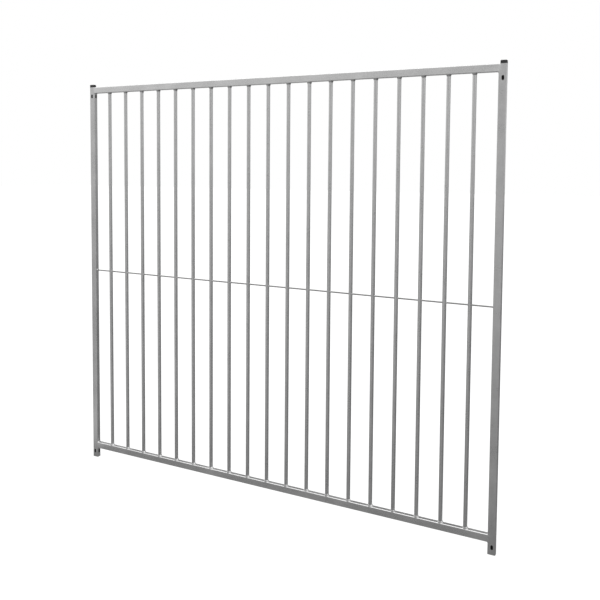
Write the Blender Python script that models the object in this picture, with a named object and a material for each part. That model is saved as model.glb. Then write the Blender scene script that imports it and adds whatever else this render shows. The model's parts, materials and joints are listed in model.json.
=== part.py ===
"""A bolt-together barrier panel: two tube posts, two tube rails, a row of upright bars, a rod threaded
through the bars at half height, and a push-in cap in the mouth of each post.

Metres, +Z up. The panel stands in the XZ plane and its front faces -Y. The origin lies on the ground,
midway between the posts. "Inner" is the side of a post that faces the other post.
"""

import math

import bmesh
import bpy
from mathutils import Vector

# Driving dimensions.
PANEL_WIDTH = 2.000
POST_LENGTH = 1.844
FOOT_DROP = 0.046  # from the bottom rail's underside to the foot ends
TUBE_WIDTH = 0.030  # across a post, and a rail's height
TUBE_DEPTH = 0.020  # front to back
TUBE_WALL = 0.0015
TUBE_RADIUS = 0.003  # outer corners
RAIL_LET_IN = 0.006  # how far each rail end is let into its post

BAR_COUNT = 19
BAR_PITCH = 0.098
BAR_DIAMETER = 0.016
BAR_WALL = 0.0012
ROD_DIAMETER = 0.006

SLOT_WIDTH = 0.0096
SLOT_LENGTH = 0.0184
SLOT_SHIFT = 0.0015  # the slots in the front walls stand this far towards the panel's end
FOOT_SLOT_HEIGHT = 0.029  # above the foot ends
LEFT_HEAD_SLOT_DROP = 0.044  # below the post tops
RIGHT_HEAD_SLOT_DROP = 0.052

CAP_HEIGHT = 0.0125
CAP_PLUG_DEPTH = 0.0150
CAP_WALL = 0.0020
CAP_RIB_COUNT = 3
CAP_RIB_PITCH = 0.0040

GAP = 0.0003  # between pieces that touch
OVERCUT = 0.004  # how far a cutter runs past the wall it cuts

# Numbers of facets.
CORNER_STEPS = 4
BAR_SIDES = 20
ROD_SIDES = 12
SLOT_END_STEPS = 6

# Worked out from the above.
POST_X = (PANEL_WIDTH - TUBE_WIDTH) / 2
INNER_FACE_X = POST_X - TUBE_WIDTH / 2
RAIL_LENGTH = 2 * (INNER_FACE_X + RAIL_LET_IN)
BOTTOM_RAIL_Z = FOOT_DROP + TUBE_WIDTH / 2
TOP_RAIL_Z = POST_LENGTH - TUBE_WIDTH / 2
BAR_FOOT_Z = FOOT_DROP + TUBE_WIDTH + GAP
BAR_HEAD_Z = POST_LENGTH - TUBE_WIDTH - GAP
ROD_Z = (FOOT_DROP + POST_LENGTH) / 2
ROD_LENGTH = 2 * (INNER_FACE_X - GAP)

# Name: base colour, metallic, roughness.
FINISHES = {
    "post_steel": ((0.47, 0.48, 0.49, 1), 0.85, 0.42),
    "rail_steel": ((0.50, 0.51, 0.52, 1), 0.85, 0.40),
    "bar_steel": ((0.49, 0.50, 0.51, 1), 0.88, 0.36),
    "rod_steel": ((0.56, 0.57, 0.58, 1), 0.90, 0.32),
    "cap_plastic": ((0.02, 0.02, 0.021, 1), 0.0, 0.48),
}


def clear_scene():
    for obj in list(bpy.data.objects):
        bpy.data.objects.remove(obj, do_unlink=True)


def make_materials():
    for name, (colour, metallic, roughness) in FINISHES.items():
        material = bpy.data.materials.new(name)
        material.use_nodes = True
        shader = material.node_tree.nodes["Principled BSDF"]
        shader.inputs["Base Color"].default_value = colour
        shader.inputs["Metallic"].default_value = metallic
        shader.inputs["Roughness"].default_value = roughness
        material.diffuse_color = colour


def rounded_rectangle(width, depth, radius, z):
    """Points of an upright tube's outline at height z, counter-clockwise from above."""
    corners = (
        (width / 2 - radius, depth / 2 - radius, 0),
        (radius - width / 2, depth / 2 - radius, 90),
        (radius - width / 2, radius - depth / 2, 180),
        (width / 2 - radius, radius - depth / 2, 270),
    )
    points = []
    for x, y, start in corners:
        for step in range(CORNER_STEPS + 1):
            angle = math.radians(start + 90 * step / CORNER_STEPS)
            points.append((x + radius * math.cos(angle), y + radius * math.sin(angle), z))
    return points


def circle(diameter, sides, z):
    angles = [2 * math.pi * (side + 0.5) / sides for side in range(sides)]
    return [(diameter / 2 * math.cos(a), diameter / 2 * math.sin(a), z) for a in angles]


def capsule(width, length, z):
    """A slot's outline, its length along X, at height z."""
    points = []
    for end, start in ((1, -90), (-1, 90)):
        for step in range(SLOT_END_STEPS + 1):
            angle = math.radians(start + 180 * step / SLOT_END_STEPS)
            x = end * (length - width) / 2 + width / 2 * math.cos(angle)
            points.append((x, width / 2 * math.sin(angle), z))
    return points


def mesh_from_rings(name, rings, hollow=False):
    """Skins a stack of outlines. A hollow piece's last ring joins its first, and any other piece has lids."""
    bm = bmesh.new()
    loops = [[bm.verts.new(point) for point in ring] for ring in rings]
    pairs = list(zip(loops, loops[1:]))
    if hollow:
        pairs.append((loops[-1], loops[0]))
    else:
        bm.faces.new(loops[0])
        bm.faces.new(loops[-1])
    for lower, upper in pairs:
        for i in range(len(lower)):
            j = (i + 1) % len(lower)
            bm.faces.new((lower[i], lower[j], upper[j], upper[i]))
    bmesh.ops.recalc_face_normals(bm, faces=bm.faces)
    mesh = bpy.data.meshes.new(name)
    bm.to_mesh(mesh)
    bm.free()
    return mesh


def add_piece(name, mesh, finish, parent, location=(0, 0, 0), rotation=(0, 0, 0)):
    obj = bpy.data.objects.new(name, mesh)
    bpy.context.scene.collection.objects.link(obj)
    obj.parent = parent
    obj.location = location
    obj.rotation_euler = rotation
    if not mesh.materials:
        mesh.materials.append(bpy.data.materials[finish])
    mesh.shade_smooth()
    mesh.set_sharp_from_angle(angle=math.radians(35))
    return obj


def add_cutter(name, mesh, parent, location, rotation=(0, 0, 0)):
    cutter = bpy.data.objects.new(name, mesh)
    bpy.context.scene.collection.objects.link(cutter)
    cutter.parent = parent
    cutter.location = location
    cutter.rotation_euler = rotation
    cutter.hide_render = True
    cutter.display_type = "WIRE"
    return cutter


def cut(obj, cutter):
    modifier = obj.modifiers.new(cutter.name, "BOOLEAN")
    modifier.operation = "DIFFERENCE"
    modifier.solver = "EXACT"
    modifier.object = cutter


def tube_mesh(name, length):
    """The frame's rectangular tube, open at both ends, along Z from 0."""
    bore = (TUBE_WIDTH - 2 * TUBE_WALL, TUBE_DEPTH - 2 * TUBE_WALL, TUBE_RADIUS - TUBE_WALL)
    rings = [
        rounded_rectangle(TUBE_WIDTH, TUBE_DEPTH, TUBE_RADIUS, 0),
        rounded_rectangle(TUBE_WIDTH, TUBE_DEPTH, TUBE_RADIUS, length),
        rounded_rectangle(*bore, length),
        rounded_rectangle(*bore, 0),
    ]
    return mesh_from_rings(name, rings, hollow=True)


def box_mesh(name, size):
    x, y, z = (side / 2 for side in size)
    outline = ((x, y), (-x, y), (-x, -y), (x, -y))
    return mesh_from_rings(name, [[(px, py, pz) for px, py in outline] for pz in (-z, z)])


def slot_mesh(name, depth):
    """A slot cutter that runs along Z, its length along X."""
    return mesh_from_rings(name, [capsule(SLOT_WIDTH, SLOT_LENGTH, z) for z in (-depth / 2, depth / 2)])


def cut_rail_notches(post, name, inward):
    """The two notches in a post's inner side that hold the rail ends. The upper one is open at the top."""
    reach = RAIL_LET_IN + GAP + OVERCUT
    x = inward * (TUBE_WIDTH / 2 + OVERCUT - reach / 2)
    foot_size = (reach, TUBE_DEPTH + 2 * OVERCUT, TUBE_WIDTH + 2 * GAP)
    foot_notch = box_mesh(name + "_foot_notch", foot_size)
    cut(post, add_cutter(name + "_foot_notch", foot_notch, post, (x, 0, BOTTOM_RAIL_Z)))
    head_height = TUBE_WIDTH + GAP + OVERCUT
    head_notch = box_mesh(name + "_head_notch", (reach, TUBE_DEPTH + 2 * OVERCUT, head_height))
    head_z = POST_LENGTH + OVERCUT - head_height / 2
    cut(post, add_cutter(name + "_head_notch", head_notch, post, (x, 0, head_z)))


def cut_slots(post, name, inward, heights):
    """At each height, one slot in the front wall and one in the inner wall. The other two walls stay whole."""
    upright = math.radians(90)
    for place, z in heights.items():
        front = slot_mesh(f"{name}_{place}_slot", 2 * OVERCUT)
        turn = (upright, upright, 0)
        where = (-inward * SLOT_SHIFT, (TUBE_WALL - TUBE_DEPTH) / 2, z)
        cut(post, add_cutter(front.name, front, post, where, turn))
        side = slot_mesh(f"{name}_{place}_side_slot", 2 * OVERCUT)
        where = (inward * (TUBE_WIDTH - TUBE_WALL) / 2, 0, z)
        cut(post, add_cutter(side.name, side, post, where, (0, upright, 0)))


def add_post(name, side, head_slot_drop, panel):
    """side is -1 for the left post and 1 for the right."""
    post = add_piece(name, tube_mesh(name, POST_LENGTH), "post_steel", panel, (side * POST_X, 0, 0))
    cut_rail_notches(post, name, -side)
    heights = {"foot": FOOT_SLOT_HEIGHT, "head": POST_LENGTH - head_slot_drop}
    cut_slots(post, name, -side, heights)


def add_rail(name, z, panel):
    length = RAIL_LENGTH - 2 * GAP
    along_x = (0, math.radians(90), 0)
    add_piece(name, tube_mesh(name, length), "rail_steel", panel, (-length / 2, 0, z), along_x)


def add_rod(panel):
    """The rod that threads the bars, and the cutter that drills them for it."""
    along_x = (0, math.radians(90), 0)
    rod = mesh_from_rings("mid_rod", [circle(ROD_DIAMETER, ROD_SIDES, z) for z in (0, ROD_LENGTH)])
    add_piece("mid_rod", rod, "rod_steel", panel, (-ROD_LENGTH / 2, 0, ROD_Z), along_x)
    drill = [circle(ROD_DIAMETER + 2 * GAP, ROD_SIDES, z) for z in (0, ROD_LENGTH)]
    drill_mesh = mesh_from_rings("rod_drill", drill)
    return add_cutter("rod_drill", drill_mesh, panel, (-ROD_LENGTH / 2, 0, ROD_Z), along_x)


def add_bars(drill, panel):
    bore = BAR_DIAMETER - 2 * BAR_WALL
    length = BAR_HEAD_Z - BAR_FOOT_Z
    sections = ((BAR_DIAMETER, 0), (BAR_DIAMETER, length), (bore, length), (bore, 0))
    rings = [circle(diameter, BAR_SIDES, z) for diameter, z in sections]
    bar_mesh = mesh_from_rings("bar", rings, hollow=True)
    for i in range(BAR_COUNT):
        x = (i - (BAR_COUNT - 1) / 2) * BAR_PITCH
        bar = add_piece(f"bar_{i + 1:02d}", bar_mesh, "bar_steel", panel, (x, 0, BAR_FOOT_Z))
        cut(bar, drill)


def cap_sections(head, plug):
    """(z, width, depth, corner radius) from the crown down the outside, then up the hollow of the plug."""
    crown = 0.0020
    rib = 0.0006
    sections = [
        (CAP_HEIGHT, head[0] - 2 * crown, head[1] - 2 * crown, TUBE_RADIUS - crown / 2),
        (CAP_HEIGHT - crown / 4, head[0] - crown, head[1] - crown, TUBE_RADIUS),
        (CAP_HEIGHT - crown, head[0], head[1], TUBE_RADIUS),
        (GAP, head[0], head[1], TUBE_RADIUS),
    ]
    radius = 0.0012
    slim = (plug[0] - 2 * rib, plug[1] - 2 * rib)
    sections.append((GAP, *slim, radius))
    for i in range(CAP_RIB_COUNT):
        z = -0.0030 - i * CAP_RIB_PITCH
        sections.append((z, *slim, radius))
        sections.append((z - 0.0005, *plug, radius))
        sections.append((z - 0.0012, *plug, radius))
        sections.append((z - 0.0020, *slim, radius))
    hollow = (slim[0] - 2 * CAP_WALL, slim[1] - 2 * CAP_WALL)
    sections.append((-CAP_PLUG_DEPTH, slim[0] - rib, slim[1] - rib, radius))
    sections.append((-CAP_PLUG_DEPTH, *hollow, radius / 2))
    sections.append((-CAP_WALL, *hollow, radius / 2))
    return sections


def add_cap(name, side, panel):
    """A cap as wide as the part of the post's mouth that the rail leaves open, flush with the panel's end."""
    head = (TUBE_WIDTH - RAIL_LET_IN, TUBE_DEPTH)
    plug = (head[0] - TUBE_WALL - 3 * GAP, TUBE_DEPTH - 2 * TUBE_WALL - 2 * GAP)
    rings = []
    for z, width, depth, radius in cap_sections(head, plug):
        ring = rounded_rectangle(width, depth, radius, z)
        if z < GAP or width < head[0] - 3 * TUBE_WALL:
            ring = [Vector(point) - Vector((side * TUBE_WALL / 2, 0, 0)) for point in ring]
        rings.append(ring)
    x = side * (POST_X + RAIL_LET_IN / 2)
    add_piece(name, mesh_from_rings(name, rings), "cap_plastic", panel, (x, 0, POST_LENGTH))


def build_panel():
    clear_scene()
    make_materials()
    panel = bpy.data.objects.new("panel", None)
    bpy.context.scene.collection.objects.link(panel)
    add_post("left_post", -1, LEFT_HEAD_SLOT_DROP, panel)
    add_post("right_post", 1, RIGHT_HEAD_SLOT_DROP, panel)
    add_rail("top_rail", TOP_RAIL_Z, panel)
    add_rail("bottom_rail", BOTTOM_RAIL_Z, panel)
    drill = add_rod(panel)
    add_bars(drill, panel)
    add_cap("left_cap", -1, panel)
    add_cap("right_cap", 1, panel)


build_panel()
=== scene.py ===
"""The looks of the barrier panel: smooth tubes, welds and zinc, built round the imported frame.

Metres, +Z up. The panel stands in the XZ plane and its front faces -Y. Every place and size comes from the
frame's boxes and record, or from one of the named values below. The two post caps keep the frame's shapes and
only get their finish here.
"""

import json
import math
import random

import bmesh
import bpy
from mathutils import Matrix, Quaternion, Vector


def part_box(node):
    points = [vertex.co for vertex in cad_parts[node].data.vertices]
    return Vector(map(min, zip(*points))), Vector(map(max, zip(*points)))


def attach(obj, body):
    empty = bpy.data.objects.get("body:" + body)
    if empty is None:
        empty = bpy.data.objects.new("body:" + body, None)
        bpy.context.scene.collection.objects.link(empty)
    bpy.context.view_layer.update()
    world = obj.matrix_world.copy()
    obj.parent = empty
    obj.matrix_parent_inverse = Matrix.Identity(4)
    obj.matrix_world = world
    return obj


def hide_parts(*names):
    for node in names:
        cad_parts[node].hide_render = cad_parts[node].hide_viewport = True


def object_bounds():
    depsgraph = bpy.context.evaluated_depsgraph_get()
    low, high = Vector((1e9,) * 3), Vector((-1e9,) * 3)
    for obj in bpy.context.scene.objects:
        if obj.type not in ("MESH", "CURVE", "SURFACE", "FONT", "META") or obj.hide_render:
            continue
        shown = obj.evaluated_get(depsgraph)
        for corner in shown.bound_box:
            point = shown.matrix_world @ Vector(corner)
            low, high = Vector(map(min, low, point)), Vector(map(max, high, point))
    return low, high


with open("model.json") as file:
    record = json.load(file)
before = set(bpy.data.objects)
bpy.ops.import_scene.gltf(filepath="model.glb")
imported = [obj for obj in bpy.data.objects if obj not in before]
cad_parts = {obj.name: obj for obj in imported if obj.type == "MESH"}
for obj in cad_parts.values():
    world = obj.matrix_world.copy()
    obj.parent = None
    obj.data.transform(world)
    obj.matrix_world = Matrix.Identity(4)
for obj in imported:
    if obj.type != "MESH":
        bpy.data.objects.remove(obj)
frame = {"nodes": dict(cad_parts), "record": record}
CAD_LOW, CAD_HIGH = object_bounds()

BARS = sorted(name for name in frame["nodes"] if name.startswith("bar_"))
RAILS = ("top_rail", "bottom_rail")
POSTS = (("left_post", 1), ("right_post", -1))  # with the way along X to the other post
CAPS = ("left_cap", "right_cap")
SEED = 7

# Tubes, bars and rod: what the frame's boxes can't say.
TUBE_WALL = 0.0015
TUBE_RADIUS = 0.003  # of a tube's outer corners
CORNER_STEPS = 8
BURR_RADIUS = 0.0003  # the zinc-rounded edges of slots and tube ends
EDGE = 0.0001  # how far off a surface something counts as inside it
EDGE_ANGLE = 50  # degrees; a sharper fold is an edge, both in the shading and for its bevel
SLOT_SIZE = (0.0096, 0.0184)  # width, height
SLOT_CUT = 4 * TUBE_WALL  # the length of its cutter, half of it outside the tube
SLOT_END_STEPS = 12
CAD_BAR_SIDES = 20  # in the frame, where a bar's box touches its flats and not its corners
BAR_SIDES = 48
BAR_STEPS = 16
BAR_BOW = (0.0006, 0.0004)  # how far its middle may stray along X and Y
ROD_SIDES = 24
ROD_STEPS_TO_A_GAP = 4
ROD_SWAY = 0.0003  # how far it waves up and down
ROD_SWAY_RATE = 7  # radians a metre
ROD_SWAY_START = 1
CONTACT = 0.0004  # how far a bar or rod runs into the piece that it is welded to

# Fillets round the bars' ends, on and under the rails.
FOOT_LEG = 0.0046  # beside a bar, along its rail
HEAD_LEG = 0.0022
FILLET_EDGE = 0.0016  # before and behind it, where the rail is hardly wider than the bar
FILLET_HEIGHT = 0.0070
FILLET_HOLLOW = 1.6  # above 1, its face is hollow
FILLET_LAP = 0.00008  # how far its ripples stand up
FILLET_STEPS = 8
FILLET_CORE = 0.7  # its hidden inner radius, as a share of the bar's
ROUND_REACH = 0.98  # how far out over a rail's rounded edge it is followed, as a share of the rounding

# Collars round the rod.
BAR_COLLAR_LEG = 0.0016  # where it enters a bar
POST_COLLAR_LEG = 0.0036  # where it meets a post
COLLAR_HOLLOW = 1.4
COLLAR_STEPS = 5
COLLAR_ROOTS = 2  # rings behind the face that it stands on
COLLAR_SIDES = 28

# Beads between rails and posts.
SEAM_WIDTH = 0.0060  # the flat ones, over the rail ends
SEAM_HEIGHT = 0.0006
CORNER_LEG = 0.0038  # those in the inside corners
CORNER_BULGE = 0.2  # of their leg
BEAD_END = 0.0035  # the length in which a bead dies away
BEAD_BLUNT = 0.02  # the share of its round end that is left off
BEAD_ARC_STEPS = 10

# Every weld's ripples.
RIPPLE_PITCH = 0.0032
RIPPLE_STEPS = 8
RIPPLE_RISE = 0.02  # of the weld's own size
RIPPLE_LEAN = 0.0006  # how far a bead's ripples curve forward at their middle
SWELL_PITCH = 7.3 * RIPPLE_PITCH  # a slower unevenness
SWELL_RISE = 0.12
WELD_EDGE_ANGLE = 70  # degrees

# Zinc: how fine its layers are, in noise cells to a metre.
CLOUD_SCALE = 9.0
LUMP_SCALE = 60.0
RUN_SCALE = 42.0
STREAK_SCALE = 260.0
SPANGLE_SCALE = 330.0
PIMPLE_SCALE = 420.0
GRAIN_SCALE = 2400.0
DRAWN = 6.0  # how many times longer than wide runs and streaks are
SPANGLE_WARP = 0.0025  # how far another noise bends the spangles' borders
SPANGLE_WARP_SCALE = 90.0
# What they do to a material's tone and roughness where mottle is 1.
CLOUD_SPAN = (0.3, 0.7)  # the part of the noise's values that is used
CLOUD_TINT = (-0.10, 0.08)
# (layer, the part of its values that is used, how far it lightens and darkens)
LAYER_TINTS = (("spangle", (0, 1), 0.05), ("streaks", (0.25, 0.75), 0.015), ("runs", (0.3, 0.7), 0.055))
TINT_RANGE = (0.75, 1.20)  # the darkest and lightest zinc, as shares of a material's tone
CLOUD_ROUGHNESS = (-0.06, 0.07)
SPANGLE_ROUGHNESS = 0.045
# How high they stand, next to each other.
STREAK_HEIGHT = 0.5
GRAIN_HEIGHT = 0.12
PIMPLE_HEIGHT = 0.35
PIMPLE_SPAN = (0.64, 0.84)  # only the noise's peaks
LUMP_HEIGHT = 0.6
ZINC_BUMP = (0.22, 0.0006)  # strength where mottle is 1, distance

# Caps, and the insides of tubes, which are painted near black as shade. Their colours are (position on a
# noise, colour) pairs.
PEBBLE_SCALE = 1500.0
SCUFF_SCALE = 140.0
SCUFF_SPAN = (0.3, 0.8)
CAP_COLOURS = ((0.35, (0.005, 0.005, 0.0055)), (0.75, (0.018, 0.018, 0.019)))
CAP_ROUGHNESS = (0.42, 0.58)
CAP_BUMP = (0.2, 0.0003)  # strength, distance
INSIDE_MOTTLE_SCALE = 120.0
INSIDE_MOTTLE_DRAWN = (1, 1, 0.3)  # the mottle runs up and down
INSIDE_MOTTLE_SPAN = (0.3, 0.7)
# Painted shade: near black, much darker than the dull zinc of a real tube's inside.
INSIDE_SHADE_COLOURS = ((0, (0.006, 0.006, 0.006)), (1, (0.030, 0.029, 0.028)))
INSIDE_ROUGHNESS = (0.75, 0.95)
INSIDE_BUMP = (0.3, 0.0004)

# Camera, relative to the middle of the panel.
CAMERA_OFFSET = Vector((1.528, -2.683, 0.529))
CAMERA_YAW = 27.08  # degrees left of +Y
CAMERA_PITCH = 3.35  # degrees below level
CAMERA_ROLL = 0.43
CAMERA_LENS = 42.9
CAMERA_SHIFT = -0.150

# Light from the surroundings: (height on a ramp from straight down to straight up, level) pairs.
CEILING = ((0.0, 0.25), (0.49, 0.62), (0.55, 0.82), (0.72, 0.90), (0.90, 2.6), (1.0, 3.2))
# Factors by direction.
SIDE_LIGHT = 0.66
SIDE_FALLOFF = 1.4
BACK_LIGHT = 0.50
FRONT_LIGHT = 0.80
RIM_LIGHT = 0.8  # more of it low behind the panel, except on the right
BACK_GLOOM = 0.70  # how much of it is missing behind the panel, between horizon and ceiling
# Where they begin and end, along a direction's X, Y or Z.
BEHIND = (0.2, 0.7)
RAISED = (0.05, 0.30)
OVERHEAD = (0.60, 0.85)
ON_THE_RIGHT = (0.30, 0.55)

# Floor.
FLOOR_REACH = 40.0  # from its middle to its edges
FLOOR_GLOW = 0.88  # what the camera sees of it
FLOOR_GREY = 0.16  # added where light falls on it
# What it sends up: (metres before or behind the panel, level) pairs.
FLOOR_LEVELS = ((0.0, 0.36), (0.7, 0.42), (3.0, 0.52), (9.0, 0.66))
FLOOR_BEHIND = 0.62  # the share of it that comes from behind the panel
FLOOR_TURN = (-0.6, 0.8)  # from where to where, along Y, it changes to that share
# The same from left to right: (metres right of the middle, factor) pairs.
FLOOR_SIDES = ((-4.0, 1.0), (-1.6, 1.35), (-1.25, 2.1), (-1.02, 1.1), (-0.9, 1.0), (1.05, 1.0), (1.6, 0.8))


# Shader node helpers.


def new_material(name):
    material = bpy.data.materials.new(name)
    material.use_nodes = True
    tree = material.node_tree
    return material, tree, tree.nodes["Principled BSDF"]


def node(tree, kind, inputs=None, **settings):
    made = tree.nodes.new(kind)
    for key, value in settings.items():
        setattr(made, key, value)
    for key, value in (inputs or {}).items():
        if isinstance(value, bpy.types.NodeSocket):
            tree.links.new(value, made.inputs[key])
        else:
            made.inputs[key].default_value = value
    return made


def place_in_panel(tree, scale=(1, 1, 1)):
    """Object coordinates, which are the panel's own here, scaled along each axis."""
    place = node(tree, "ShaderNodeTexCoord").outputs["Object"]
    return node(tree, "ShaderNodeMapping", {"Vector": place, "Scale": scale}).outputs[0]


def noise(tree, vector, scale, detail=3.0, roughness=0.55, distortion=0.0):
    settings = {"Detail": detail, "Roughness": roughness, "Distortion": distortion}
    return node(tree, "ShaderNodeTexNoise", {"Vector": vector, "Scale": scale, **settings}).outputs["Fac"]


def remap(tree, value, low, high, to_low, to_high):
    values = {"Value": value, "From Min": low, "From Max": high, "To Min": to_low, "To Max": to_high}
    return node(tree, "ShaderNodeMapRange", values).outputs["Result"]


def colour_ramp(tree, value, stops):
    """stops: (position, (red, green, blue)) pairs."""
    made = node(tree, "ShaderNodeValToRGB", {0: value})
    elements = made.color_ramp.elements
    elements[0].position = stops[0][0]
    elements[1].position = stops[-1][0]
    for position, _ in stops[1:-1]:
        elements.new(position)
    for element, (_, colour) in zip(elements, stops):
        element.color = (*colour, 1)
    return made.outputs["Color"]


def grey_ramp(tree, value, stops):
    """stops: (position, level) pairs."""
    return colour_ramp(tree, value, [(position, (level, level, level)) for position, level in stops])


def ramp_over(tree, value, pairs):
    """A grey ramp whose (position, level) pairs have positions in the value's own measure."""
    start, end = pairs[0][0], pairs[-1][0]
    stops = [((position - start) / (end - start), level) for position, level in pairs]
    return grey_ramp(tree, remap(tree, value, start, end, 0, 1), stops)


def math_node(tree, operation, first, second):
    return node(tree, "ShaderNodeMath", {0: first, 1: second}, operation=operation).outputs[0]


def product(tree, first, *factors):
    for factor in factors:
        first = math_node(tree, "MULTIPLY", first, factor)
    return first


def coordinate(tree, vector, axis):
    return node(tree, "ShaderNodeSeparateXYZ", {0: vector}).outputs[axis]


def add_bump(tree, shader, height, strength, distance):
    bump = node(tree, "ShaderNodeBump", {"Strength": strength, "Distance": distance, "Height": height})
    tree.links.new(bump.outputs["Normal"], shader.inputs["Normal"])


# Materials.


def zinc_layers(tree, grain_axis):
    """The patterns in hot-dip zinc. Its streaks and runs are drawn out along grain_axis."""
    plain = place_in_panel(tree)
    drawn = place_in_panel(tree, [1 / DRAWN if axis == grain_axis else 1.0 for axis in "xyz"])
    warp = node(tree, "ShaderNodeTexNoise", {"Vector": plain, "Scale": SPANGLE_WARP_SCALE, "Detail": 2.0})
    mix = {0: SPANGLE_WARP, 4: plain, 5: warp.outputs["Color"]}
    bent = node(tree, "ShaderNodeMix", mix, data_type="VECTOR").outputs[1]
    cells = node(tree, "ShaderNodeTexVoronoi", {"Vector": bent, "Scale": SPANGLE_SCALE}).outputs["Color"]
    peaks = noise(tree, plain, PIMPLE_SCALE, detail=1.0, roughness=0.5)
    return {
        "clouds": noise(tree, plain, CLOUD_SCALE, detail=4.0, roughness=0.6),
        "lumps": noise(tree, plain, LUMP_SCALE),
        "runs": noise(tree, drawn, RUN_SCALE, roughness=0.5, distortion=0.6),
        "streaks": noise(tree, drawn, STREAK_SCALE, roughness=0.6, distortion=0.4),
        "spangle": node(tree, "ShaderNodeSeparateColor", {"Color": cells}).outputs[0],
        "pimples": remap(tree, peaks, *PIMPLE_SPAN, 0, PIMPLE_HEIGHT),
        "grain": noise(tree, plain, GRAIN_SCALE, detail=2.0, roughness=0.6),
    }


def zinc_colour(tree, layers, tone, mottle):
    darkest, lightest = (1 + tint * mottle for tint in CLOUD_TINT)
    tint = remap(tree, layers["clouds"], *CLOUD_SPAN, darkest, lightest)
    for layer, span, part in LAYER_TINTS:
        tint = product(tree, tint, remap(tree, layers[layer], *span, 1 - part * mottle, 1 + part * mottle))
    return ramp_over(tree, tint, [(share, tone * share) for share in TINT_RANGE])


def zinc_roughness(tree, layers, roughness, mottle):
    smoothest, roughest = (roughness + part * mottle for part in CLOUD_ROUGHNESS)
    clouds = remap(tree, layers["clouds"], *CLOUD_SPAN, smoothest, roughest)
    part = SPANGLE_ROUGHNESS * mottle
    return math_node(tree, "ADD", clouds, remap(tree, layers["spangle"], 0, 1, -part, part))


def zinc_height(tree, layers):
    streaks = product(tree, layers["streaks"], STREAK_HEIGHT)
    fine = math_node(tree, "ADD", streaks, product(tree, layers["grain"], GRAIN_HEIGHT))
    fine = math_node(tree, "ADD", fine, layers["pimples"])
    return math_node(tree, "ADD", fine, product(tree, layers["lumps"], LUMP_HEIGHT))


def zinc(name, tone, roughness, grain_axis, mottle):
    """Hot-dip zinc: frosted spangles, drag streaks along the tube, clouds of duller zinc.

    tone is its grey, and mottle how strongly it varies: 1 on a weld, less on a tube or a thin bar.
    """
    material, tree, shader = new_material(name)
    layers = zinc_layers(tree, grain_axis)
    strength, distance = ZINC_BUMP
    tree.links.new(zinc_colour(tree, layers, tone, mottle), shader.inputs["Base Color"])
    tree.links.new(zinc_roughness(tree, layers, roughness, mottle), shader.inputs["Roughness"])
    shader.inputs["Metallic"].default_value = 1.0
    add_bump(tree, shader, zinc_height(tree, layers), strength * mottle, distance)
    return material


def black_plastic():
    """Moulded polyethylene, faintly pebbled, greyed and scuffed in patches."""
    material, tree, shader = new_material("cap_black")
    plain = place_in_panel(tree)
    pebble = noise(tree, plain, PEBBLE_SCALE, roughness=0.6)
    scuffs = noise(tree, plain, SCUFF_SCALE, detail=4.0, roughness=0.65, distortion=0.5)
    tree.links.new(colour_ramp(tree, scuffs, CAP_COLOURS), shader.inputs["Base Color"])
    tree.links.new(remap(tree, scuffs, *SCUFF_SPAN, *CAP_ROUGHNESS), shader.inputs["Roughness"])
    add_bump(tree, shader, pebble, *CAP_BUMP)
    return material


def tube_inside_painted_shade():
    """The unlit inside of a tube: dull zinc painted near black as shade, with a mottle drawn out up and down.
    """
    material, tree, shader = new_material("tube_inside_painted_shade")
    inside_mottle = noise(tree, place_in_panel(tree, INSIDE_MOTTLE_DRAWN), INSIDE_MOTTLE_SCALE, detail=4.0, roughness=0.6)
    tree.links.new(colour_ramp(tree, inside_mottle, INSIDE_SHADE_COLOURS), shader.inputs["Base Color"])
    tree.links.new(remap(tree, inside_mottle, *INSIDE_MOTTLE_SPAN, *INSIDE_ROUGHNESS), shader.inputs["Roughness"])
    add_bump(tree, shader, inside_mottle, *INSIDE_BUMP)
    return material


# For zinc: tone, roughness, the axis its streaks follow, mottle.
MATERIALS = {
    # The insides of tubes: near black, painted shade.
    "inside": tube_inside_painted_shade(),
    "post": zinc("zinc_post", 0.505, 0.32, "z", 0.75),
    "rail": zinc("zinc_rail", 0.585, 0.30, "x", 0.75),
    "bar": zinc("zinc_bar", 0.515, 0.30, "z", 0.55),
    "rod": zinc("zinc_rod", 0.24, 0.42, "x", 0.8),
    "weld": zinc("zinc_weld", 0.54, 0.34, "y", 1.0),
    # The welds under the top rail: a darker copy of the weld zinc, painted shade.
    "shaded_head_weld": zinc("zinc_head_weld", 0.33, 0.40, "y", 1.0),
    "cap": black_plastic(),
}


# Mesh helpers. An outline is a list of points, and a piece's axes are its own X, Y and Z in the panel's.

UPRIGHT = ((1, 0, 0), (0, 1, 0), (0, 0, 1))
ALONG_X = ((0, 0, -1), (0, 1, 0), (1, 0, 0))
SLOT_FROM_FRONT = ((0, 0, 1), (1, 0, 0), (0, 1, 0))
SLOT_FROM_SIDE = ((0, 0, 1), (0, 1, 0), (1, 0, 0))


def rounded_rectangle(width, depth, radius, z):
    points = []
    corners = ((1, 1, 0), (-1, 1, 90), (-1, -1, 180), (1, -1, 270))
    for x, y, start in corners:
        for step in range(CORNER_STEPS + 1):
            angle = math.radians(start + 90 * step / CORNER_STEPS)
            px = x * (width / 2 - radius) + radius * math.cos(angle)
            py = y * (depth / 2 - radius) + radius * math.sin(angle)
            points.append(Vector((px, py, z)))
    return points


def circle(radius, sides, z):
    angles = [2 * math.pi * side / sides for side in range(sides)]
    return [Vector((radius * math.cos(a), radius * math.sin(a), z)) for a in angles]


def capsule(width, length, z):
    """A slot's outline at height z, its length along X."""
    points = []
    for end, start in ((1, -90), (-1, 90)):
        for step in range(SLOT_END_STEPS + 1):
            angle = math.radians(start + 180 * step / SLOT_END_STEPS)
            x = end * (length - width) / 2 + width / 2 * math.cos(angle)
            points.append(Vector((x, width / 2 * math.sin(angle), z)))
    return points


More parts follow.
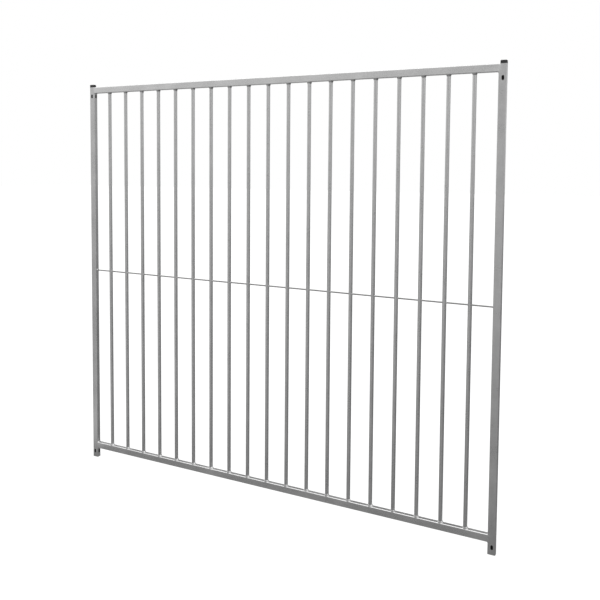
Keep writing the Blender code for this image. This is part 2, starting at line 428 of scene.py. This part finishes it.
def turned(points, axes, offset):
    """Points given in a piece's own axes, put into the panel's."""
    x_axis, y_axis, z_axis = (Vector(axis) for axis in axes)
    return [Vector(offset) + p.x * x_axis + p.y * y_axis + p.z * z_axis for p in points]


def skin(bm, rings, hollow=False):
    """Joins a stack of outlines into one closed surface. A hollow one's last ring joins its first."""
    loops = [[bm.verts.new(point) for point in ring] for ring in rings]
    pairs = list(zip(loops, loops[1:]))
    if hollow:
        pairs.append((loops[-1], loops[0]))
    else:
        bm.faces.new(loops[0])
        bm.faces.new(loops[-1])
    for lower, upper in pairs:
        for i in range(len(lower)):
            j = (i + 1) % len(lower)
            bm.faces.new((lower[i], lower[j], upper[j], upper[i]))


def mesh_of(name, build):
    """A mesh whose surface build(bm) draws."""
    bm = bmesh.new()
    build(bm)
    bmesh.ops.recalc_face_normals(bm, faces=bm.faces)
    mesh = bpy.data.meshes.new(name)
    bm.to_mesh(mesh)
    bm.free()
    return mesh


def add_piece(name, mesh, kind, replaced=(), edge_angle=EDGE_ANGLE):
    piece = bpy.data.objects.new(name, mesh)
    bpy.context.scene.collection.objects.link(piece)
    mesh.materials.clear()
    mesh.materials.append(MATERIALS[kind])
    mesh.shade_smooth()
    mesh.set_sharp_from_angle(angle=math.radians(edge_angle))
    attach(piece, "root")
    if replaced:
        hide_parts(*replaced)
    return piece


def add_weld(name, build, kind="weld"):
    add_piece(name, mesh_of(name, build), kind, edge_angle=WELD_EDGE_ANGLE)


def smooth_flats(piece):
    """Keeps the flats of a rounded tube flat in the shading."""
    modifier = piece.modifiers.new("flats", "WEIGHTED_NORMAL")
    modifier.keep_sharp = True


def node_centre(name):
    low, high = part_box(name)
    return (low + high) / 2


def inner_face(post, inward):
    """X where a post faces the other one, which lies at inward (1 or -1) along X."""
    low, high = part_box(post)
    return high.x if inward > 0 else low.x


# Posts and rails.


def tube(bm, width, depth, length, axes, offset):
    bore = (width - 2 * TUBE_WALL, depth - 2 * TUBE_WALL, TUBE_RADIUS - TUBE_WALL)
    outside = (width, depth, TUBE_RADIUS)
    rings = [rounded_rectangle(*outside, z) for z in (0, length)]
    rings += [rounded_rectangle(*bore, z) for z in (length, 0)]
    skin(bm, [turned(ring, axes, offset) for ring in rings], hollow=True)


def rail_piece(name):
    low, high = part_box(name)
    size = high - low
    offset = (low.x, 0, (low.z + high.z) / 2)
    mesh = mesh_of(name, lambda bm: tube(bm, size.z, size.y, size.x, ALONG_X, offset))
    smooth_flats(add_piece(name + "_tube", mesh, "rail", [name]))


def post_piece(name, inward):
    """inward is 1 where the other post lies towards +X, and -1 where it lies towards -X."""
    low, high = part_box(name)
    size = high - low
    offset = (node_centre(name).x, 0, low.z)
    mesh = mesh_of(name, lambda bm: tube(bm, size.x, size.y, size.z, UPRIGHT, offset))
    piece = add_piece(name + "_tube", mesh, "post", [name])
    cutters = [rail_end_cutter(f"{name}_{rail}", rail, inward, size.x) for rail in RAILS]
    slot_walls = []
    for place in ("head", "foot"):
        front = opening_centre(name.replace("post", f"{place}_slot"))
        front.y = low.y
        side = Vector((inner_face(name, inward), 0, front.z))
        cutters.append(slot_cutter(f"{name}_{place}", front, SLOT_FROM_FRONT))
        cutters.append(slot_cutter(f"{name}_{place}_side", side, SLOT_FROM_SIDE))
        slot_walls.append(slot_wall(front, 1, 1))
        slot_walls.append(slot_wall(side, 0, -inward))
    carve(piece, cutters)
    # The bore and the slots' walls get the near-black painted shade.
    paint_bore_shade(piece, name, slot_walls)
    finish_edges(piece)


def opening_centre(name):
    boxes = {o["name"]: o["box_m"] for o in frame["record"]["physics"]["openings"]}
    low, high = (Vector(corner) for corner in boxes[name])
    return (low + high) / 2


def cutter(name, build):
    obj = bpy.data.objects.new(name, mesh_of(name, build))
    bpy.context.scene.collection.objects.link(obj)
    return obj


def rail_end_cutter(name, rail, inward, reach):
    """The shape of a rail's end, run out past the post's inner side.

    The top rail's also runs up past the post's mouth, because the two are level there.
    """
    low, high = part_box(rail)
    top = high.z + (2 * TUBE_RADIUS if rail == "top_rail" else 0)
    start = low.x if inward > 0 else high.x - reach
    centre = (start, 0, (low.z + top) / 2)

    def build(bm):
        rings = [rounded_rectangle(top - low.z, high.y - low.y, TUBE_RADIUS, z) for z in (0, reach)]
        skin(bm, [turned(ring, ALONG_X, centre) for ring in rings])

    return cutter(name, build)


def slot_cutter(name, centre, axes):
    def build(bm):
        rings = [capsule(*SLOT_SIZE, z) for z in (-SLOT_CUT / 2, SLOT_CUT / 2)]
        skin(bm, [turned(ring, axes, centre) for ring in rings])

    return cutter(name, build)


def carve(piece, cutters):
    """Cuts the cutters out of a piece for good, and removes them."""
    for obj in cutters:
        modifier = piece.modifiers.new(obj.name, "BOOLEAN")
        modifier.operation = "DIFFERENCE"
        modifier.solver = "EXACT"
        modifier.object = obj
    bpy.context.view_layer.update()
    graph = bpy.context.evaluated_depsgraph_get()
    carved = bpy.data.meshes.new_from_object(piece.evaluated_get(graph))
    piece.modifiers.clear()
    piece.data = carved
    for obj in cutters:
        bpy.data.objects.remove(obj, do_unlink=True)


def slot_wall(centre, axis, inward):
    """The box that holds a slot's own faces, from just under the outer surface to just inside the bore.

    The slot's centre is on the outer surface, and the bore lies at inward (1 or -1) along that axis.
    """
    half = Vector((SLOT_SIZE[0] / 2 + EDGE, SLOT_SIZE[0] / 2 + EDGE, SLOT_SIZE[1] / 2 + EDGE))
    low = centre - half
    high = centre + half
    low[axis], high[axis] = sorted((centre[axis] + inward * EDGE, centre[axis] + inward * (TUBE_WALL + EDGE)))
    return low, high


def within(point, low, high):
    return all(a < p < b for a, p, b in zip(low, point, high))


def paint_bore_shade(piece, name, slot_walls):
    """Gives the faces inside a tube, and those in the thickness of its slots, the near-black material of
    painted shade.
    """
    low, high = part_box(name)
    wall = Vector((TUBE_WALL - EDGE, TUBE_WALL - EDGE, 0))
    boxes = [(low + wall, high - wall), *slot_walls]
    piece.data.materials.append(MATERIALS["inside"])
    for face in piece.data.polygons:
        if any(within(face.center, *box) for box in boxes):
            face.material_index = 1


def finish_edges(piece):
    """Rounds the cut edges, as the zinc does."""
    bevel = piece.modifiers.new("zinc_edges", "BEVEL")
    bevel.width = BURR_RADIUS
    bevel.segments = 2
    bevel.limit_method = "ANGLE"
    bevel.angle_limit = math.radians(EDGE_ANGLE)
    smooth_flats(piece)


# Bars and rod.


def bar_radius():
    low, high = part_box(BARS[0])
    return (high.x - low.x) / 2 / math.cos(math.pi / CAD_BAR_SIDES)


def rod_radius():
    low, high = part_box("mid_rod")
    return (high.z - low.z) / 2


def bar_piece(name, rng):
    """A bar that bows a little, each its own way."""
    low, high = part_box(name)
    centre = node_centre(name)
    length = high.z - low.z + 2 * CONTACT
    bow = Vector((rng.uniform(-BAR_BOW[0], BAR_BOW[0]), rng.uniform(-BAR_BOW[1], BAR_BOW[1]), 0))

    def build(bm):
        rings = []
        for step in range(BAR_STEPS + 1):
            share = step / BAR_STEPS
            ring = circle(bar_radius(), BAR_SIDES, low.z - CONTACT + length * share)
            lean = bow * math.sin(math.pi * share)
            rings.append([p + Vector((centre.x, centre.y, 0)) + lean for p in ring])
        skin(bm, rings)

    add_piece(name + "_tube", mesh_of(name, build), "bar", [name])


def rod_piece():
    low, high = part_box("mid_rod")
    centre = node_centre("mid_rod")
    length = high.x - low.x + 2 * CONTACT
    steps = ROD_STEPS_TO_A_GAP * (len(BARS) + 1)

    def build(bm):
        rings = []
        for step in range(steps + 1):
            x = low.x - CONTACT + length * step / steps
            sway = ROD_SWAY * math.sin(ROD_SWAY_RATE * x + ROD_SWAY_START)
            rings.append(turned(circle(rod_radius(), ROD_SIDES, 0), ALONG_X, (x, centre.y, centre.z + sway)))
        skin(bm, rings)

    add_piece("mid_rod_bar", mesh_of("mid_rod", build), "rod", ["mid_rod"])


# Welds.


def ripple(rng):
    """A function of the way along a weld, in metres: about 1, with the beads' rhythm and some unevenness."""
    phase = rng.uniform(0, 6)
    drift = rng.uniform(0, 6)

    def height(way):
        beads = RIPPLE_RISE * math.sin(2 * math.pi * way / RIPPLE_PITCH + phase)
        return 1 + beads + SWELL_RISE * math.sin(2 * math.pi * way / SWELL_PITCH + drift)

    return height


def rail_drop(y, half_depth):
    """How far a rail's rounded edge lies below its flat, at this distance from the middle."""
    past = min(abs(y) - (half_depth - TUBE_RADIUS), TUBE_RADIUS * ROUND_REACH)
    return TUBE_RADIUS - math.sqrt(TUBE_RADIUS**2 - past**2) if past > 0 else 0.0


def bar_fillet(bm, bar, rail, up, leg, rng):
    """The weld round a bar's end. up is 1 on top of a rail and -1 below one."""
    low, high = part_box(rail)
    centre = node_centre(bar)
    surface = high.z if up > 0 else low.z
    radius = bar_radius()
    ripples = round(2 * math.pi * radius / RIPPLE_PITCH)
    sides = ripples * RIPPLE_STEPS
    waves = ripple(rng)
    rings = []
    for step in range(FILLET_STEPS + 1):
        out = step / FILLET_STEPS
        ring = []
        for side in range(sides):
            angle = 2 * math.pi * side / sides
            swell = waves(angle * radius)
            lap = FILLET_LAP * math.sin(ripples * angle + 2 * out) * math.sin(math.pi * out)
            spread = swell * math.sin(math.pi / 2 * out) ** FILLET_HOLLOW
            x = math.cos(angle) * (radius + leg * spread + lap - CONTACT * (1 - out))
            y = math.sin(angle) * (radius + FILLET_EDGE * spread + lap - CONTACT * (1 - out))
            rise = FILLET_HEIGHT * swell * math.cos(math.pi / 2 * out) ** FILLET_HOLLOW
            drop = rail_drop(y, high.y) * out + CONTACT / 2 * out
            ring.append(Vector((centre.x + x, centre.y + y, surface + up * (rise - drop))))
        rings.append(ring)
    for rise in (-TUBE_RADIUS / 3, FILLET_HEIGHT):
        ring = circle(radius * FILLET_CORE, sides, surface + up * rise)
        rings.append([p + Vector((centre.x, centre.y, 0)) for p in ring])
    skin(bm, rings, hollow=True)


def bar_welds(name, kind, rail, up, leg, rng):
    def build(bm):
        for bar in BARS:
            bar_fillet(bm, bar, rail, up, leg, rng)

    add_weld(name, build, kind)


def collar(bm, x, towards, leg, rng):
    """A weld round the rod. It narrows from the face at x in the direction towards (1 or -1)."""
    radius = rod_radius()
    z = node_centre("mid_rod").z
    waves = ripple(rng)
    rings = []
    for step in range(-COLLAR_ROOTS, COLLAR_STEPS + 1):
        share = max(step, 0) / COLLAR_STEPS
        ring = []
        for side in range(COLLAR_SIDES):
            angle = 2 * math.pi * side / COLLAR_SIDES
            swell = waves(angle * radius) * leg
            across = radius + swell * (1 - share) ** COLLAR_HOLLOW - CONTACT / 4
            along = swell * share**COLLAR_HOLLOW + min(step, 0) * leg / 2
            place = (x + towards * along, across * math.cos(angle), z + across * math.sin(angle))
            ring.append(Vector(place))
        rings.append(ring)
    skin(bm, rings)


def rod_welds(rng):
    radius = bar_radius()

    def at_bars(bm):
        for bar in BARS:
            for towards in (1, -1):
                x = node_centre(bar).x + towards * (radius - BAR_COLLAR_LEG / 4)
                collar(bm, x, towards, BAR_COLLAR_LEG, rng)

    def at_posts(bm):
        for post, inward in POSTS:
            collar(bm, inner_face(post, inward), inward, POST_COLLAR_LEG, rng)

    add_weld("rod_bar_welds", at_bars)
    add_weld("rod_end_welds", at_posts)


def bead(bm, start, end, outward, across, width, height, lift, rng):
    """A bead along a line.

    outward is the way it bulges, across the way it is wide, and lift how far it stands off the line.
    """
    start, end, outward, across = (Vector(v) for v in (start, end, outward, across))
    length = (end - start).length
    steps = round(length / RIPPLE_PITCH * RIPPLE_STEPS)
    waves = ripple(rng)
    rings = []
    for step in range(steps + 1):
        way = length * step / steps
        inside_end = min(1.0, BEAD_BLUNT + min(way, length - way) / BEAD_END)
        taper = math.sqrt(inside_end * (2 - inside_end))
        swell = waves(way)
        line = start + (end - start) * step / steps
        ring = []
        for i in range(BEAD_ARC_STEPS + 1):
            angle = math.pi * i / BEAD_ARC_STEPS
            lap = RIPPLE_LEAN * math.sin(angle) * (end - start).normalized()
            place = line + across * math.cos(angle) * width / 2 * (0.5 + 0.5 * swell) * taper
            ring.append(place + outward * (lift * taper + math.sin(angle) * height * swell * taper) + lap)
        ring.append(line - outward * (CONTACT + height / 2))
        rings.append(ring)
    skin(bm, rings)


def joint_welds(rail, post, inward, rng):
    """The beads where a rail end meets a post: over both seams, and in the inside corners."""
    low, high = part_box(rail)
    seam_x = low.x if inward > 0 else high.x
    corner_x = inner_face(post, inward)
    reach_y = high.y - TUBE_RADIUS / 2
    corners = [(low.z, -1)]
    if rail == "bottom_rail":
        corners.append((high.z, 1))

    def build(bm):
        for y, out in ((low.y, -1), (high.y, 1)):
            ends = ((seam_x, y, low.z + TUBE_RADIUS), (seam_x, y, high.z - TUBE_RADIUS))
            bead(bm, *ends, (0, out, 0), (1, 0, 0), SEAM_WIDTH, SEAM_HEIGHT, 0, rng)
        for z, up in corners:
            away = Vector((inward, 0, up)).normalized()
            along = Vector((inward, 0, -up)).normalized()
            ends = ((corner_x, -reach_y, z), (corner_x, reach_y, z))
            width, lift = CORNER_LEG * math.sqrt(2), CORNER_LEG / math.sqrt(2)
            bead(bm, *ends, away, along, width, CORNER_LEG * CORNER_BULGE, lift, rng)

    add_weld(f"{rail}_{post}_weld", build)


# Camera, floor and light.


def add_camera():
    data = bpy.data.cameras.new("camera")
    data.lens = CAMERA_LENS
    data.shift_y = CAMERA_SHIFT
    camera = bpy.data.objects.new("camera", data)
    camera.location = (CAD_LOW + CAD_HIGH) / 2 + CAMERA_OFFSET
    yaw, pitch = math.radians(CAMERA_YAW), math.radians(CAMERA_PITCH)
    ahead = Vector((-math.sin(yaw) * math.cos(pitch), math.cos(yaw) * math.cos(pitch), -math.sin(pitch)))
    level = ahead.to_track_quat("-Z", "Y")
    camera.rotation_mode = "QUATERNION"
    camera.rotation_quaternion = level @ Quaternion((0, 0, 1), math.radians(CAMERA_ROLL))
    bpy.context.scene.collection.objects.link(camera)
    bpy.context.scene.camera = camera


def floor_material():
    """Nearly white to the camera. What it sends up to the panel changes with the place it comes from."""
    material, tree, _ = new_material("pale_floor")
    tree.nodes.clear()
    glow = node(tree, "ShaderNodeEmission", {"Color": (1, 1, 1, 1), "Strength": FLOOR_GLOW}).outputs[0]
    grey = (FLOOR_GREY, FLOOR_GREY, FLOOR_GREY, 1)
    shade = node(tree, "ShaderNodeBsdfDiffuse", {"Color": grey}).outputs[0]
    pale = node(tree, "ShaderNodeAddShader", {0: glow, 1: shade}).outputs[0]

    place = place_in_panel(tree)
    behind = coordinate(tree, place, "Y")
    levels = ramp_over(tree, math_node(tree, "ABSOLUTE", behind, 0), FLOOR_LEVELS)
    share = remap(tree, behind, *FLOOR_TURN, 1.0, FLOOR_BEHIND)
    share = product(tree, share, ramp_over(tree, coordinate(tree, place, "X"), FLOOR_SIDES))
    bounce = node(tree, "ShaderNodeEmission", {"Color": levels, "Strength": share}).outputs[0]

    seen = node(tree, "ShaderNodeLightPath").outputs["Is Camera Ray"]
    mixed = node(tree, "ShaderNodeMixShader", {0: seen, 1: bounce, 2: pale}).outputs[0]
    node(tree, "ShaderNodeOutputMaterial", {"Surface": mixed})
    return material


def add_floor():
    reach = FLOOR_REACH
    corners = [(-reach, -reach, 0), (reach, -reach, 0), (reach, reach, 0), (-reach, reach, 0)]
    mesh = bpy.data.meshes.new("floor")
    mesh.from_pydata(corners, [], [(0, 1, 2, 3)])
    mesh.materials.append(floor_material())
    floor = bpy.data.objects.new("floor", mesh)
    bpy.context.scene.collection.objects.link(floor)


def light_power(tree, x, y, z):
    """How strong the light is from the direction x, y, z, before the ceiling's own levels."""
    sides = math_node(tree, "POWER", math_node(tree, "ABSOLUTE", x, 0), SIDE_FALLOFF)
    sides = remap(tree, sides, 0, 1, 0, SIDE_LIGHT)
    power = math_node(tree, "ADD", sides, remap(tree, y, 1, -1, BACK_LIGHT, FRONT_LIGHT))

    behind = remap(tree, y, *BEHIND, 0, 1)
    band = product(tree, remap(tree, z, *RAISED, 0, 1), remap(tree, z, *OVERHEAD, 1, 0))
    gloom = product(tree, behind, band, BACK_GLOOM)
    power = product(tree, power, math_node(tree, "SUBTRACT", 1, gloom))

    low = remap(tree, z, *RAISED, 1, 0)
    not_right = remap(tree, x, *ON_THE_RIGHT, 1, 0)
    return math_node(tree, "ADD", power, product(tree, behind, not_right, low, RIM_LIGHT))


def add_world():
    """White where the camera looks past the panel.

    As light: a bright ceiling, bright sides, a dim band behind the panel, and a rim of light low behind it.
    """
    world = bpy.data.worlds.new("studio")
    bpy.context.scene.world = world
    world.use_nodes = True
    tree = world.node_tree
    tree.nodes.clear()
    ray = node(tree, "ShaderNodeTexCoord").outputs["Generated"]
    x, y, z = (coordinate(tree, ray, axis) for axis in "XYZ")
    levels = grey_ramp(tree, remap(tree, z, -1, 1, 0, 1), CEILING)
    light = {"Color": levels, "Strength": light_power(tree, x, y, z)}
    lit = node(tree, "ShaderNodeBackground", light).outputs[0]
    white = node(tree, "ShaderNodeBackground", {"Color": (1, 1, 1, 1), "Strength": 1.0}).outputs[0]
    seen = node(tree, "ShaderNodeLightPath").outputs["Is Camera Ray"]
    mixed = node(tree, "ShaderNodeMixShader", {0: seen, 1: lit, 2: white}).outputs[0]
    node(tree, "ShaderNodeOutputWorld", {"Surface": mixed})


def finish_cap(name):
    cap = frame["nodes"][name]
    cap.data.materials.clear()
    cap.data.materials.append(MATERIALS["cap"])


def build_scene():
    rng = random.Random(SEED)
    add_camera()
    add_floor()
    add_world()
    for name, inward in POSTS:
        post_piece(name, inward)
    for name in RAILS:
        rail_piece(name)
    for name in BARS:
        bar_piece(name, rng)
    rod_piece()
    bar_welds("bar_foot_welds", "weld", "bottom_rail", 1, FOOT_LEG, rng)
    # Under the top rail these welds take the darker copy of the weld zinc, painted shade.
    bar_welds("bar_head_welds", "shaded_head_weld", "top_rail", -1, HEAD_LEG, rng)
    rod_welds(rng)
    for rail in RAILS:
        for post, inward in POSTS:
            joint_welds(rail, post, inward, rng)
    for name in CAPS:
        finish_cap(name)
    bpy.context.scene.view_settings.view_transform = "Standard"


build_scene()
